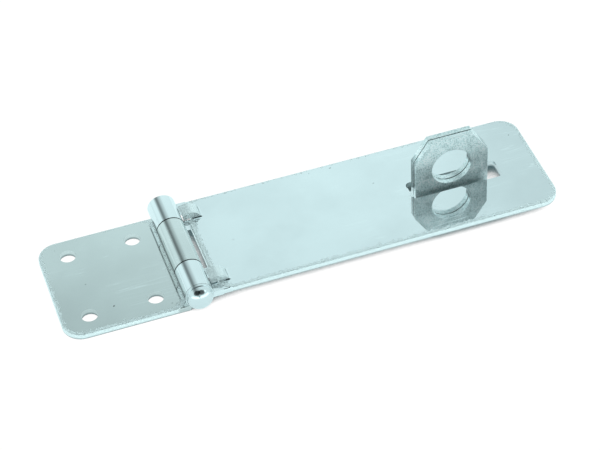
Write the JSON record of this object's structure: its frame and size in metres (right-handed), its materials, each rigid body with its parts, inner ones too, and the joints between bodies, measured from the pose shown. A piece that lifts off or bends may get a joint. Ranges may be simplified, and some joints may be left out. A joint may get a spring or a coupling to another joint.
{
  "type": "hasp and staple",
  "caption": "Zinc plated steel hasp with a short fixed hinge leaf, a long slotted arm and an upright staple with a round padlock eye.",
  "frame": {"origin": "centre of the fixed leaf's four screw holes, on the mounting plane", "axes": "+X along the arm towards its free end, +Z out of the mounting plane, -Y towards the pin's domed head"},
  "size_m": [0.1543, 0.0449, 0.0236],
  "materials": {
    "leaf_zinc": "bright zinc plated sheet",
    "arm_zinc": "bright zinc plated sheet",
    "pin_zinc": "polished zinc plate",
    "staple_zinc": "dull zinc plate with tumbling marks"
  },
  "bodies": {
    "fixed_leaf": {"hinge_leaf": "leaf_zinc", "hinge_pin": "pin_zinc"},
    "arm": {"hasp_arm": "arm_zinc"},
    "staple": {"staple_front_plate": "staple_zinc", "staple_rear_plate": "staple_zinc"}
  },
  "joints": [
    {"name": "arm_fold", "type": "hinge", "parent": "fixed_leaf", "child": "arm", "pos_m": [0.0214, 0, 0.0057], "axis": [0, -1, 0], "range_deg": [0, 180]},
    {"name": "staple_withdraw", "type": "slide", "parent": "fixed_leaf", "child": "staple", "axis": [0, 0, -1], "range_m": [0, 0.03]}
  ]
}
